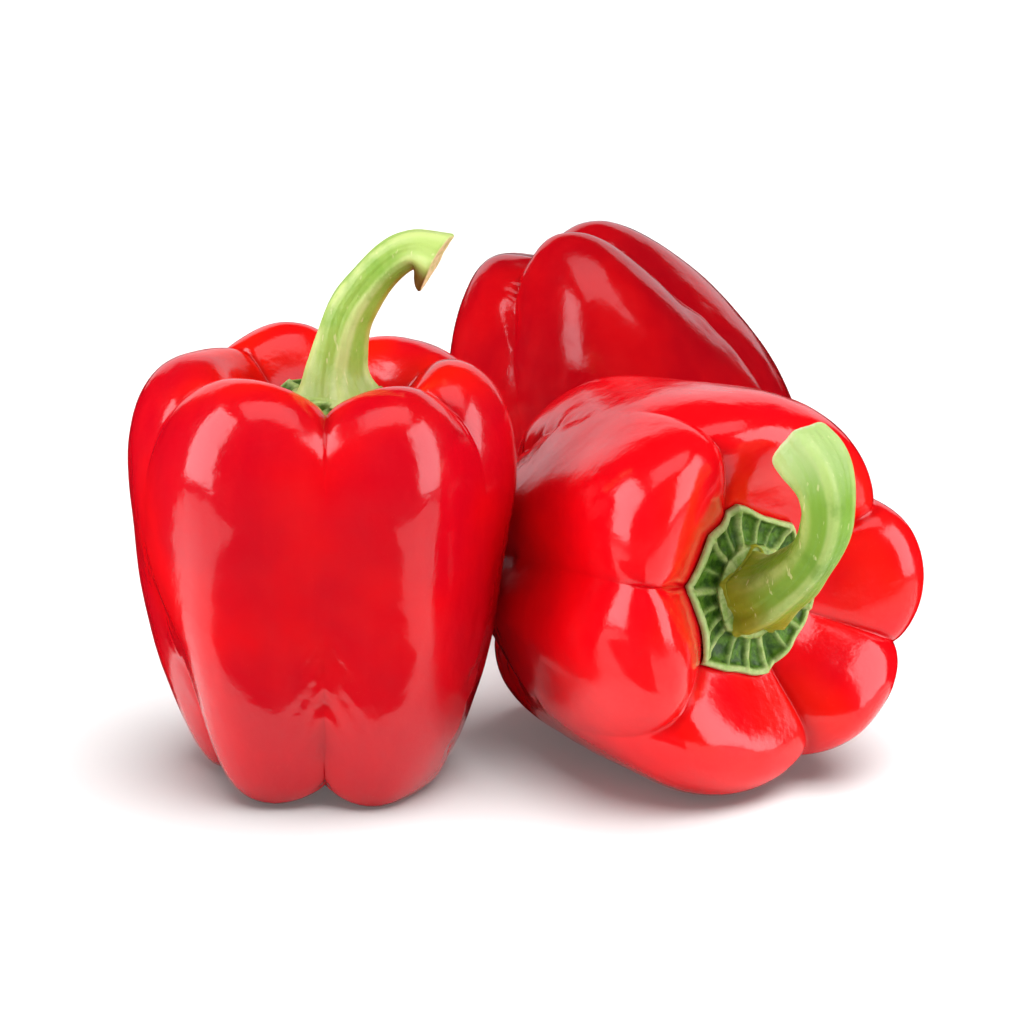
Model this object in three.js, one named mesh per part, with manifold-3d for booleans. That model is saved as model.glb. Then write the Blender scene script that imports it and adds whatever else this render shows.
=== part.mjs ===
// Three red bell peppers resting together on a flat surface.
// Millimetres, +Z up. The origin lies on the surface they rest on, under the
// middle of the group. -Y is the front, +X the right-hand side.
//
// Each pepper is three pieces: the solid fruit, the ribbed green calyx that
// sits in the hollow of its shoulders, and the stem that grows out of it.
import * as THREE from 'three';
import { mergeVertices } from 'three/addons/utils/BufferGeometryUtils.js';
import Module from 'manifold-3d';

// ---------------------------------------------------------------- dimensions

const CALYX_CLEARANCE = 0.45; // calyx underside to the fruit below it
const STEM_CLEARANCE = 0.35;  // stem foot to the calyx top
const CALYX_RIM = 1.1;        // calyx thickness at its rim
const CALYX_BODY = 1.7;       // calyx thickness half way in

const COLUMNS = 42;           // facets round a fruit
const STEM_SIDES = 15;        // facets round a stem, three to each rib

// A fruit wall is a ring of smooth meridians. Each meridian is guided by twelve
// points [radius, height], from the middle of the hollow over the shoulder and
// down to the middle of the dimple at the blossom end:
//   0-1 hollow floor, 2 inner wall, 3 crest, 4 shoulder, 5-7 body,
//   8 lower side, 9 foot, 10-11 dimple.
// Each lobe line holds the groove on its clockwise side and then the lobe:
//   angle, groove depth at the shoulder, at mid height and at the foot,
//   radius factors at the shoulder, mid height and foot, and the rise of the
//   shoulder and the drop of the foot (degrees and millimetres).
const LOBE = ['angle', 'top', 'mid', 'foot', 'rShoulder', 'rMid', 'rFoot', 'rise', 'drop'];

// How sharply the wall folds into a groove at each guide point, and how much of
// the shoulder groove runs on down the side.
const CRISP = { fold: [0, 0.3, 0.9, 1, 1, 0.6, 0.15, 0.1, 0.5, 1, 0.9, 0.3], runOn: 0.5 };
const GENTLE = { fold: [0, 0.3, 0.9, 1, 0.6, 0, 0, 0, 0.45, 0.9, 0.9, 0.3], runOn: 0.36 };

const UPRIGHT = {
  name: 'pepper_upright',
  groove: GENTLE,
  origin: [-45.65, -56.41, 3.77],
  axis: [0.0201, 0.0018, 0.9998],
  spin: -0.15,
  wall: [[0, 79], [9.02, 82.5], [17, 81.6], [23.8, 96.09], [39.74, 90.92], [45.3, 71.9],
    [42.55, 54.25], [40.76, 34.86], [34.92, 10.65], [25.93, -7.81], [9.96, 6.36], [0, 9]],
  lobes: [
    [-87.74, 7.02, 3.30, 6.56, 0.992, 1.000, 1.035, -1.28, -1.93],
    [-27.26, 7.52, 0.94, 0.61, 0.950, 0.943, 0.937, -0.96, -0.27],
    [23.42, 4.18, 2.03, 7.98, 0.997, 0.900, 0.940, -2.15, -2.10],
    [87.79, 7.52, 2.00, 6.00, 0.998, 1.001, 0.999, 0.87, -2.70],
    [139.60, 4.51, 0.96, 2.13, 1.014, 1.026, 0.998, -1.27, -2.60],
    [203.69, 6.74, 1.30, 8.56, 1.008, 1.002, 1.008, -0.31, -0.90],
  ],
  calyx: {
    // [angle, how far out along the meridian each point reaches]
    points: [[20, 2.1], [76, 1.95], [131, 1.85], [186, 1.72], [249, 1.85], [311, 2.0]],
    notch: 0.22, pad: 8.4, padHeight: 85.0, centre: [2.0, 0],
  },
  stem: {
    path: [[2.1, 0, 85.35], [1.9, -0.1, 90], [2.9, -0.6, 96.3], [4.7, -1.1, 103.1],
      [8.4, -2.1, 109.4], [13.5, -3.1, 115.4], [18.9, -4.1, 118.2], [23.6, -5.1, 117]],
    side: [0, 1, 0],
    radius: [[0, 8.2], [0.06, 7.2], [0.16, 6.2], [0.3, 5.6], [0.45, 5.1], [0.6, 4.7],
      [0.75, 4.3], [0.87, 4.2], [0.94, 4.8], [1, 5.6]],
  },
};

const LYING = {
  name: 'pepper_lying',
  groove: CRISP,
  origin: [-1.51, -4.77, 37.04],
  axis: [0.6261, -0.7708, 0.1173],
  spin: 0,
  wall: [[0, 81], [9.04, 80.4], [17, 81.7], [28.39, 94.2], [38.68, 92.88], [45.42, 77.91],
    [45.28, 56.03], [41.28, 36.9], [35.74, 20.06], [25.62, 1.02], [11.04, 7.96], [0, 14]],
  lobes: [
    [21.38, 7.63, 0.85, 1.98, 1.007, 0.975, 1.217, -0.98, -0.51],
    [109.58, 6.29, 0.02, 7.86, 1.140, 0.921, 0.850, -1.06, 1.44],
    [166.36, 5.20, 5.01, 3.08, 1.012, 0.905, 0.831, -2.05, 1.53],
    [220.67, 7.63, -1.75, 7.28, 1.126, 0.985, 1.116, -3.56, -0.56],
    [282.98, 6.46, 1.08, 2.00, 1.090, 0.954, 0.997, 3.97, 0],
    [332.21, 5.45, 1.08, 8.00, 1.120, 0.906, 1.005, 2.96, 0],
  ],
  calyx: {
    points: [[49, 1.95], [104, 2.25], [135, 2.3], [170, 2.3], [217, 2.3], [274, 2.08], [335, 1.88]],
    notch: 0.2, pad: 8.8, padHeight: 84.6, centre: [-2.1, 0.2],
  },
  stem: {
    path: [[-2, -0.2, 84.95], [-2.1, 1.3, 89.5], [-2.2, 4.4, 95.5], [-2.1, 9.3, 102],
      [-2.1, 14.5, 106.3], [-2.4, 22.2, 109.1], [-2.1, 28.4, 107.5], [-2.4, 33.7, 102.7]],
    side: [1, 0, 0],
    radius: [[0, 8.6], [0.07, 8.1], [0.16, 6.9], [0.28, 6.1], [0.4, 5.4], [0.55, 5.2],
      [0.7, 5.7], [0.84, 6.6], [0.94, 7.2], [1, 7.1]],
  },
};

// This one stands on its shoulders, tipped over until the stem end meets the surface.
const REAR = {
  name: 'pepper_rear',
  groove: CRISP,
  origin: [3.37, 56.6, 99.82],
  axis: [0.3845, -0.0404, -0.9222],
  spin: 9.5,
  wall: [[0, 76.8], [9, 75.84], [18.01, 80.66], [26.25, 97.39], [40.31, 93.63], [45.53, 75.92],
    [45.77, 55.19], [42.13, 34.53], [32.92, 13], [18.61, -2.52], [9.07, 0.27], [0, 7.68]],
  lobes: [
    [94.04, 6.1, 5.5, 10, 0.999, 1.010, 1.031, 0, 0.6],
    [199.37, 6, 3.93, 8.09, 1.004, 0.996, 0.917, 0, 2.33],
    [329.92, 6, 2.49, 5.64, 0.995, 1.033, 0.962, 0, 4.07],
  ],
  calyx: {
    points: [[30, 1.95], [90, 1.9], [150, 2.0], [210, 1.9], [270, 1.95], [330, 1.9]],
    notch: 0.2, pad: 8, padHeight: 79.9, centre: [0, 0],
  },
  stem: {
    path: [[0, 0, 80.25], [0.2, 0.3, 86], [0.1, 1.1, 93], [-0.4, 2.2, 100], [-1.1, 3.6, 106.6]],
    side: [1, 0, 0],
    radius: [[0, 8], [0.1, 7], [0.25, 6], [0.5, 5.3], [0.75, 5.3], [0.92, 5.9], [1, 6.2]],
  },
};

// Rows of facets along a meridian, counted in guide points from the hollow.
const FRUIT_ROWS = [0, 0.6, 1.1, 1.6, 2, 2.35, 2.7, 3.05, 3.4, 3.8, 4.2, 4.7, 5.3, 6, 6.7, 7.4,
  8, 8.5, 8.9, 9.3, 9.7, 10.1, 10.5, 11];

const SKIN_RED = { upright: 0xd6090c, lying: 0xe00a08, rear: 0xc8081c };
const CALYX_GREEN = 0x5f8020;
const STEM_GREEN = 0xa9c455;

// --------------------------------------------------------------------- fruit

const radians = THREE.MathUtils.degToRad;
const TURN = Math.PI * 2;
const lobe = (row) => Object.fromEntries(LOBE.map((key, i) => [key, row[i]]));


// Guide points along the crest of one lobe.
function crestOf(wall, l) {
  const { rShoulder: a, rMid: b, rFoot: c } = l;
  const factor = [1, 1, (1 + a) / 2, a, a, a * 0.6 + b * 0.4, b, b * 0.6 + c * 0.4, c, c, (1 + c) / 2, 1];
  const up = [0, 0, 0.4, 1, 0.8, 0.3, 0, 0, 0, 0, 0, 0];
  const down = [0, 0, 0, 0, 0, 0, 0, 0.2, 0.6, 1, 0.7, 0];
  return wall.map(([r, z], i) => [r * factor[i], z + l.rise * up[i] + l.drop * down[i]]);
}

// Guide points along the bottom of the groove between two lobes.
function grooveOf(l, left, right, runOn) {
  const rTop = [0, 0, -0.1, 0.05, 0.55, runOn, 0, 0, 0, 0, 0, 0];
  const zTop = [0, 0, 0.3, 1, 0.7, 0.1, 0, 0, 0, 0, 0, 0];
  const rMid = [0, 0, 0, 0, 0, 0.5, 1, 1, 0.5, 0, 0, 0];
  const rFoot = [0, 0, 0, 0, 0, 0, 0, 0.25, 0.75, 0.35, 0, 0];
  const zFoot = [0, 0, 0, 0, 0, 0, 0, 0, 0.25, 1, 0.7, 0];
  return left.map(([r, z], i) => [
    (r + right[i][0]) / 2 - l.top * rTop[i] - l.mid * rMid[i] - l.foot * rFoot[i],
    (z + right[i][1]) / 2 - l.top * zTop[i] + l.foot * zFoot[i],
  ]);
}

// Guide points of the meridian at one angle.
function guideAt(pepper, theta) {
  const lobes = pepper.lobes.map(lobe), n = lobes.length;
  const crests = lobes.map((l) => crestOf(pepper.wall, l));
  const { fold, runOn } = pepper.groove;
  const grooves = lobes.map((l, k) => grooveOf(l, crests[(k + n - 1) % n], crests[k], runOn));
  for (let k = 0; k < n; k++) {
    const start = radians(lobes[k].angle);
    let span = (radians(lobes[(k + 1) % n].angle) - start) % TURN;
    if (span <= 0) span += TURN;
    let along = (theta - start) % TURN;
    if (along < 0) along += TURN;
    if (along >= span - 1e-9) continue;
    const f = along / span, s = 2 * f - 1, bulge = Math.max(0, 1 - s * s);
    const sharp = bulge ** 0.62;
    const smooth = Math.cos(Math.PI * s / 2) ** 2;
    const t = 0.5 - 0.5 * Math.cos(Math.PI * f);
    return crests[k].map(([r, z], i) => {
      const w = sharp * fold[i] + smooth * (1 - fold[i]);
      const gr = grooves[k][i][0] * (1 - t) + grooves[(k + 1) % n][i][0] * t;
      const gz = grooves[k][i][1] * (1 - t) + grooves[(k + 1) % n][i][1] * t;
      return [gr + (r - gr) * w, gz + (z - gz) * w];
    });
  }
  return guideAt(pepper, theta + 1e-6);
}

// Point and slope of a meridian, a cubic B-spline that is level on the axis.
function meridian(guide, t) {
  const last = guide.length - 1;
  const at = (i) => i < 0 ? [-guide[1][0], guide[1][1]]
    : i > last ? [-guide[last - 1][0], guide[last - 1][1]] : guide[i];
  const i = Math.min(Math.floor(t), last - 1), x = t - i;
  const weight = [(1 - x) ** 3 / 6, (3 * x ** 3 - 6 * x * x + 4) / 6, (-3 * x ** 3 + 3 * x * x + 3 * x + 1) / 6, x ** 3 / 6];
  const slope = [-((1 - x) ** 2) / 2, (9 * x * x - 12 * x) / 6, (-9 * x * x + 6 * x + 3) / 6, x * x / 2];
  const p = [0, 0, 0, 0];
  for (let k = 0; k < 4; k++) {
    const [r, z] = at(i - 1 + k);
    p[0] += r * weight[k]; p[1] += z * weight[k];
    p[2] += r * slope[k]; p[3] += z * slope[k];
  }
  return p;
}

// Angles round a fruit, closer together near its grooves.
function columnAngles(pepper) {
  const starts = pepper.lobes.map((row) => radians(row[0]));
  const spans = starts.map((a, k) => {
    const span = (starts[(k + 1) % starts.length] - a) % TURN;
    return span <= 0 ? span + TURN : span;
  });
  const angles = [];
  starts.forEach((a, k) => {
    const count = Math.round(COLUMNS * spans[k] / TURN);
    for (let i = 0; i < count; i++) {
      const t = i / count;
      angles.push(a + spans[k] * (0.45 * t + 0.55 * (0.5 - 0.5 * Math.cos(Math.PI * t))));
    }
  });
  return angles;
}

// A closed skin over a grid of points: columns go round, rows run from pole to
// pole. A lathe gives the faces and the grid gives the places.
function skin(columns) {
  const rows = columns[0].length;
  const profile = columns[0].map((_, j) => new THREE.Vector2(j === 0 || j === rows - 1 ? 0 : 1, j));
  const geometry = new THREE.LatheGeometry(profile, columns.length);
  const position = geometry.getAttribute('position');
  for (let i = 0; i <= columns.length; i++) {
    for (let j = 0; j < rows; j++) {
      const ends = j === 0 || j === rows - 1;
      position.setXYZ(i * rows + j, ...columns[ends ? 0 : i % columns.length][j]);
    }
  }
  geometry.deleteAttribute('normal');
  geometry.deleteAttribute('uv');
  return mergeVertices(geometry, 1e-5);
}

function fruitGeometry(pepper) {
  const columns = columnAngles(pepper).map((theta) => {
    const guide = guideAt(pepper, theta);
    return FRUIT_ROWS.map((t) => {
      const [r, z] = meridian(guide, t);
      return [r * Math.cos(theta), r * Math.sin(theta), z];
    }).reverse();
  });
  return skin(columns);
}

// --------------------------------------------------------------------- calyx

// A thin ribbed star pressed into the hollow: its underside follows the fruit
// and its top rises to a round pad that carries the stem.
function calyxGeometry(pepper) {
  const { points, notch, pad, padHeight, centre } = pepper.calyx;
  const reachAt = (theta) => {
    for (let k = 0; k < points.length; k++) {
      const a = radians(points[k][0]);
      let span = (radians(points[(k + 1) % points.length][0]) - a) % TURN;
      if (span <= 0) span += TURN;
      let along = (theta - a) % TURN;
      if (along < 0) along += TURN;
      if (along > span) continue;
      const f = along / span;
      const between = points[k][1] * (1 - f) + points[(k + 1) % points.length][1] * f;
      return between - notch * (1 - Math.abs(2 * f - 1) ** 1.6);
    }
    return points[0][1];
  };
  const columns = columnAngles(pepper).map((theta) => {
    const guide = guideAt(pepper, theta), reach = reachAt(theta);
    const cos = Math.cos(theta), sin = Math.sin(theta);
    const lifted = (s, lift) => {
      const [r, z, dr, dz] = meridian(guide, s * reach);
      const length = Math.hypot(dr, dz);
      const out = r - lift * dz / length;
      return [out * cos, out * sin, z + lift * dr / length];
    };
    return [
      [0, 0, meridian(guide, 0)[1] + CALYX_CLEARANCE],
      lifted(0.45, CALYX_CLEARANCE),
      lifted(0.75, CALYX_CLEARANCE),
      lifted(1, CALYX_CLEARANCE),
      lifted(1, CALYX_CLEARANCE + CALYX_RIM),
      lifted(0.82, CALYX_CLEARANCE + CALYX_BODY),
      [centre[0] + (pad + 2.2) * cos, centre[1] + (pad + 2.2) * sin, padHeight - 0.9],
      [centre[0] + pad * cos, centre[1] + pad * sin, padHeight],
      [centre[0], centre[1], padHeight],
    ];
  });
  return skin(columns);
}

// ---------------------------------------------------------------------- stem

// A tapering ribbed stalk that follows its path, cut off square at the end.
function stemGeometry({ path, side, radius }) {
  const curve = new THREE.CatmullRomCurve3(path.map((p) => new THREE.Vector3(...p)));
  curve.arcLengthDivisions = 400;
  const reference = new THREE.Vector3(...side);
  const columns = [];
  const frames = radius.map(([u]) => {
    const origin = curve.getPointAt(u), tangent = curve.getTangentAt(u);
    if (u === 0) tangent.set(0, 0, 1);
    const x = reference.clone().addScaledVector(tangent, -reference.dot(tangent)).normalize();
    return { origin, x, y: tangent.clone().cross(x) };
  });
  for (let i = 0; i < STEM_SIDES; i++) {
    const phi = TURN * i / STEM_SIDES;
    const rib = 1 + 0.05 * Math.cos(5 * phi);
    const column = radius.map(([, r], j) => frames[j].origin.clone()
      .addScaledVector(frames[j].x, r * rib * Math.cos(phi))
      .addScaledVector(frames[j].y, r * rib * Math.sin(phi)).toArray());
    columns.push([frames[0].origin.toArray(), ...column, frames.at(-1).origin.toArray()]);
  }
  return skin(columns);
}

// ------------------------------------------------------------------ resting

const wasm = await Module();
wasm.setup();

// Trims whatever lies below the resting surface off a piece of a placed pepper,
// which leaves small flat patches where it touches down.
function restOn(geometry, placed) {
  const solid = new wasm.Manifold(new wasm.Mesh({
    numProp: 3,
    vertProperties: new Float32Array(geometry.getAttribute('position').array),
    triVerts: new Uint32Array(geometry.index.array),
  }));
  const down = new THREE.Matrix3().setFromMatrix4(placed.matrix).transpose();
  const normal = new THREE.Vector3(0, 0, 1).applyMatrix3(down);
  const cut = solid.trimByPlane(normal.toArray(), -placed.position.z).getMesh();
  const trimmed = new THREE.BufferGeometry();
  trimmed.setAttribute('position', new THREE.BufferAttribute(Float32Array.from(cut.vertProperties), 3));
  trimmed.setIndex(new THREE.BufferAttribute(Uint32Array.from(cut.triVerts), 1));
  return trimmed;
}

// ------------------------------------------------------------------ assembly

// Turns a pepper's own Z onto its axis, with its X level, then spins it.
function orient(group, pepper) {
  const axis = new THREE.Vector3(...pepper.axis).normalize();
  const x = Math.abs(axis.z) > 0.98
    ? new THREE.Vector3(1, 0, 0).addScaledVector(axis, -axis.x)
    : new THREE.Vector3(0, 0, 1).cross(axis);
  x.normalize();
  const y = axis.clone().cross(x);
  const spun = new THREE.Matrix4().makeBasis(x, y, axis)
    .multiply(new THREE.Matrix4().makeRotationZ(radians(pepper.spin)));
  group.quaternion.setFromRotationMatrix(spun);
  group.position.set(...pepper.origin);
  group.updateMatrix();
}

function addPiece(group, name, geometry, colour, roughness) {
  geometry.computeVertexNormals();
  const material = new THREE.MeshStandardMaterial({ color: colour, roughness, metalness: 0, flatShading: true });
  const mesh = new THREE.Mesh(geometry, material);
  mesh.name = name;
  group.add(mesh);
}

const peppers = new THREE.Group();
for (const [pepper, red] of [[UPRIGHT, SKIN_RED.upright], [LYING, SKIN_RED.lying], [REAR, SKIN_RED.rear]]) {
  const group = new THREE.Group();
  orient(group, pepper);
  addPiece(group, `${pepper.name}_fruit`, restOn(fruitGeometry(pepper), group), red, 0.18);
  addPiece(group, `${pepper.name}_calyx`, calyxGeometry(pepper), CALYX_GREEN, 0.55);
  const stem = stemGeometry(pepper.stem);
  addPiece(group, `${pepper.name}_stem`, pepper === REAR ? restOn(stem, group) : stem, STEM_GREEN, 0.5);
  peppers.add(group);
}

export default peppers;
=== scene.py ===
"""Looks for the three red bell peppers, in metres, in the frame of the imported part."""
import math

import bpy
import numpy as np
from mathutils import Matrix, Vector, noise


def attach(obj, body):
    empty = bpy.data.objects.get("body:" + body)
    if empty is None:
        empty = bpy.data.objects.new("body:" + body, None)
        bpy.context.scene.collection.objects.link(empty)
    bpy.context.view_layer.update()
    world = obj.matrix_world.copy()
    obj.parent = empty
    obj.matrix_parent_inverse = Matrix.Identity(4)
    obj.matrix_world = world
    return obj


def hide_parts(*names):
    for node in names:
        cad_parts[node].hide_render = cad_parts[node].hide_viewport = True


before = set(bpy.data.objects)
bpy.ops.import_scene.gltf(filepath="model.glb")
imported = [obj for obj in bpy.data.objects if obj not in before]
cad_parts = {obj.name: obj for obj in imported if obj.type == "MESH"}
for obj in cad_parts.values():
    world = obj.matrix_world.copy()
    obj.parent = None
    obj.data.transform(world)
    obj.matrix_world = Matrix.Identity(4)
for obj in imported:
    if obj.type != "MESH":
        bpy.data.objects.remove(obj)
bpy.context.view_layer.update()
MM = 0.001
scene = bpy.context.scene

# name, place, aim, size (m), radiance, seen in the gloss
LIGHTS = [
    ("softbox_left", (-0.74, -0.26, 0.40), (-0.03, -0.05, 0.05), (0.68, 0.86), 6.0, True),
    ("softbox_right", (0.72, -0.32, 0.40), (0.0, -0.05, 0.05), (0.62, 0.86), 5.6, True),
    ("softbox_rear", (-0.62, -0.46, 0.44), (0.02, 0.05, 0.07), (0.26, 0.56), 5.0, True),
    ("softbox_top", (0.06, -0.20, 0.90), (0, 0, 0), (0.80, 0.46), 2.2, True),
    ("backdrop", (0.0, 1.25, 0.42), (0, 0, 0.08), (1.7, 0.75), 0.8, True),
    ("fill_front", (-0.05, -1.3, 0.75), (0, 0, 0.05), (0.9, 0.6), 0.4, False),
]
WORLD = 0.42
FLOOR_SUN = 6.5
FLOOR_FILL = 2.5      # the share of the floor's light that throws no shadow
GLOSS_SHARE = 0.9     # how much of each softbox shows in the gloss
SHINY = (-0.40, -0.26, 0.40, -0.03)   # table patches seen in the gloss: left, low y, right, high y
LEFT_X, RIGHT_X, MIDDLE_Y = -0.155, 0.03, -0.116

# ------------------------------------------------------------------ the walls
# The same guide points as the CAD solids: twelve [radius, height] pairs from the
# hollow over the shoulder and body to the blossom end, and one row for each lobe:
# angle, groove depth at shoulder, mid and foot, radius factors, rise and drop.
UPRIGHT = dict(
    name="pepper_upright", origin=(-45.65, -56.41, 3.77), axis=(0.0201, 0.0018, 0.9998), spin=-0.15,
    wall=[(0, 79), (9.02, 82.5), (17, 81.6), (23.8, 96.09), (39.74, 90.92), (45.3, 71.9),
          (42.55, 54.25), (40.76, 34.86), (34.92, 10.65), (25.93, -7.81), (9.96, 6.36), (0, 9)],
    lobes=[(-87.74, 7.02, 3.30, 6.56, 0.992, 1.000, 1.035, -1.28, -1.93),
           (-27.26, 7.52, 0.94, 0.61, 0.950, 0.943, 0.937, -0.96, -0.27),
           (23.42, 4.18, 2.03, 7.98, 0.997, 0.900, 0.940, -2.15, -2.10),
           (87.79, 7.52, 2.00, 6.00, 0.998, 1.001, 0.999, 0.87, -2.70),
           (139.60, 4.51, 0.96, 2.13, 1.014, 1.026, 0.998, -1.27, -2.60),
           (203.69, 6.74, 1.30, 8.56, 1.008, 1.002, 1.008, -0.31, -0.90)])
LYING = dict(
    name="pepper_lying", origin=(-1.51, -4.77, 37.04), axis=(0.6261, -0.7708, 0.1173), spin=0,
    wall=[(0, 81), (9.04, 80.4), (17, 81.7), (28.39, 94.2), (38.68, 92.88), (45.42, 77.91),
          (45.28, 56.03), (41.28, 36.9), (35.74, 20.06), (25.62, 1.02), (11.04, 7.96), (0, 14)],
    lobes=[(21.38, 7.63, 0.85, 1.98, 1.007, 0.975, 1.217, -0.98, -0.51),
           (109.58, 6.29, 0.02, 7.86, 1.140, 0.921, 0.850, -1.06, 1.44),
           (166.36, 5.20, 5.01, 3.08, 1.012, 0.905, 0.831, -2.05, 1.53),
           (220.67, 7.63, -1.75, 7.28, 1.126, 0.985, 1.116, -3.56, -0.56),
           (282.98, 6.46, 1.08, 2.00, 1.090, 0.954, 0.997, 3.97, 0),
           (332.21, 5.45, 1.08, 8.00, 1.120, 0.906, 1.005, 2.96, 0)])
REAR = dict(
    name="pepper_rear", origin=(3.37, 56.6, 99.82), axis=(0.3845, -0.0404, -0.9222), spin=9.5,
    wall=[(0, 76.8), (9, 75.84), (18.01, 80.66), (26.25, 97.39), (40.31, 93.63), (45.53, 75.92),
          (45.77, 55.19), (42.13, 34.53), (32.92, 13), (18.61, -2.52), (9.07, 0.27), (0, 7.68)],
    lobes=[(94.04, 6.1, 5.5, 10, 0.999, 1.010, 1.031, 0, 0.6),
           (199.37, 6, 3.93, 8.09, 1.004, 0.996, 0.917, 0, 2.33),
           (329.92, 6, 2.49, 5.64, 0.995, 1.033, 0.962, 0, 4.07)])

# how sharply the wall folds into a groove at each guide point
CRISP = np.array([0, 0.3, 0.9, 1, 1.0, 0.6, 0.15, 0.1, 0.5, 0.85, 0.5, 0.1])
GENTLE = np.array([0, 0.3, 0.9, 1, 0.6, 0.0, 0, 0, 0.45, 0.85, 0.5, 0.1])


def crest(wall, l):
    a, b, c = l[4:7]
    f = np.array([1, 1, (1 + a) / 2, a, a, a * 0.6 + b * 0.4, b, b * 0.6 + c * 0.4, c, c, (1 + c) / 2, 1])
    out = np.array(wall, float)
    out[:, 0] *= f
    out[:, 1] += l[7] * np.array([0, 0, 0.4, 1, 0.8, 0.3, 0, 0, 0, 0, 0, 0])
    out[:, 1] += l[8] * np.array([0, 0, 0, 0, 0, 0, 0, 0.2, 0.6, 1, 0.7, 0])
    return out


def groove(l, left, right, side=0.5):
    out = (left + right) / 2
    out[:, 0] -= l[1] * np.array([0, 0, -0.1, 0.05, 0.55, side, 0, 0, 0, 0, 0, 0])
    out[:, 1] -= l[1] * np.array([0, 0, 0.3, 1, 0.7, 0.1, 0, 0, 0, 0, 0, 0])
    out[:, 0] -= l[2] * np.array([0, 0, 0, 0, 0, 0.5, 1, 1, 0.5, 0, 0, 0])
    out[:, 0] -= l[3] * np.array([0, 0, 0, 0, 0, 0, 0, 0.25, 0.75, 0.35, 0, 0])
    out[:, 1] += l[3] * np.array([0, 0, 0, 0, 0, 0, 0, 0, 0.25, 1, 0.7, 0])
    return out


def guides(p, th, soft=0.07):
    """Guide points (n, 12, 2) at the angles th, and how close each angle is to a groove."""
    L = p["lobes"]; n = len(L)
    C = [crest(p["wall"], l) for l in L]
    G = [groove(L[k], C[k - 1], C[k], p.get('side', 0.5)) for k in range(n)]
    FOLD = p.get('fold', CRISP)
    A = np.radians([l[0] for l in L])
    out = np.zeros((len(th), 12, 2)); near = np.zeros(len(th)); which = np.zeros(len(th), int)
    for k in range(n):
        span = (A[(k + 1) % n] - A[k]) % (2 * np.pi)
        d = (th - A[k]) % (2 * np.pi)
        sel = np.where(d < span - 1e-9)[0]
        f = d[sel] / span
        s = 2 * f - 1
        bulge = np.clip(1 - s * s, 0, 1)
        round_ = (np.sqrt(bulge * bulge + soft * soft) - soft) / (math.sqrt(1 + soft * soft) - soft)
        sharp = round_ ** 0.62
        smooth = np.cos(np.pi * s / 2) ** 2
        t = (0.5 - 0.5 * np.cos(np.pi * f))[:, None, None]
        g = G[k][None] * (1 - t) + G[(k + 1) % n][None] * t
        w = sharp[:, None] * FOLD + smooth[:, None] * (1 - FOLD)
        out[sel] = g + (C[k][None] - g) * w[:, :, None]
        near[sel] = 1 - bulge
        which[sel] = k
    return out, near, which


def spline(C, t):
    """Point on each meridian's cubic B-spline at the row values t."""
    m = C.shape[1]
    a = C[:, 1:2] * [-1, 1]; b = C[:, -2:-1] * [-1, 1]
    E = np.concatenate([a, C, b], 1)
    i = np.minimum(t.astype(int), m - 2); x = t - i
    B = [(1 - x) ** 3 / 6, (3 * x ** 3 - 6 * x * x + 4) / 6, (-3 * x ** 3 + 3 * x * x + 3 * x + 1) / 6, x ** 3 / 6]
    out = np.zeros((len(C), len(t), 2))
    for k in range(4):
        out += E[:, i + k] * B[k][None, :, None]
    return out


def columns(p, count, bunch=0.6):
    A = np.radians([l[0] for l in p["lobes"]]); n = len(A); th = []
    for k in range(n):
        span = (A[(k + 1) % n] - A[k]) % (2 * np.pi)
        m = int(round(count * span / (2 * np.pi)))
        t = np.arange(m) / m
        th.append(A[k] + span * ((1 - bunch) * t + bunch * (0.5 - 0.5 * np.cos(np.pi * t))))
    return np.concatenate(th)


def turn(p):
    """3x3 matrix from the pepper's own axes to the frame's."""
    a = np.array(p["axis"], float); a /= np.linalg.norm(a)
    x = np.array([1.0, 0, 0]) - a * a[0] if abs(a[2]) > 0.98 else np.cross([0, 0, 1.0], a)
    x /= np.linalg.norm(x); y = np.cross(a, x)
    c, s = math.cos(math.radians(p["spin"])), math.sin(math.radians(p["spin"]))
    return np.stack([x * c + y * s, -x * s + y * c, a], 1)


def place(p, V):
    return V @ turn(p).T + np.array(p["origin"])


def ramp(x, a, b):
    t = np.clip((x - a) / (b - a), 0, 1)
    return t * t * (3 - 2 * t)


def wave(V, size, seed, octaves=3):
    """Smooth seeded noise in -1..1 at each point, size in mm."""
    o = np.array([seed * 17.3, seed * 5.1, seed * 9.7])
    return np.array([noise.fractal(Vector(v), 0.8, 2.1, octaves) for v in (V / size + o)])


def make_mesh(name, V, F, node, attrs=None):
    me = bpy.data.meshes.new(name)
    me.from_pydata([], [], [])
    me.vertices.add(len(V)); me.vertices.foreach_set("co", (V * MM).astype(np.float32).ravel())
    loops = np.concatenate([np.asarray(f, np.int32).ravel() for f in F])
    sizes = np.concatenate([np.full(len(f), np.asarray(f).shape[1], np.int32) for f in F])
    starts = np.concatenate([[0], np.cumsum(sizes)[:-1]]).astype(np.int32)
    me.loops.add(len(loops)); me.loops.foreach_set("vertex_index", loops)
    me.polygons.add(len(sizes)); me.polygons.foreach_set("loop_start", starts)
    me.polygons.foreach_set("loop_total", sizes)
    me.polygons.foreach_set("use_smooth", np.ones(len(sizes), bool))
    me.update(calc_edges=True); me.validate()
    for key, val in (attrs or {}).items():
        at = me.attributes.new(key, "FLOAT", "POINT")
        at.data.foreach_set("value", np.asarray(val, np.float32))
    o = bpy.data.objects.new(name, me)
    scene.collection.objects.link(o)
    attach(o, "root"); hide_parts(node)
    return o


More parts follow.
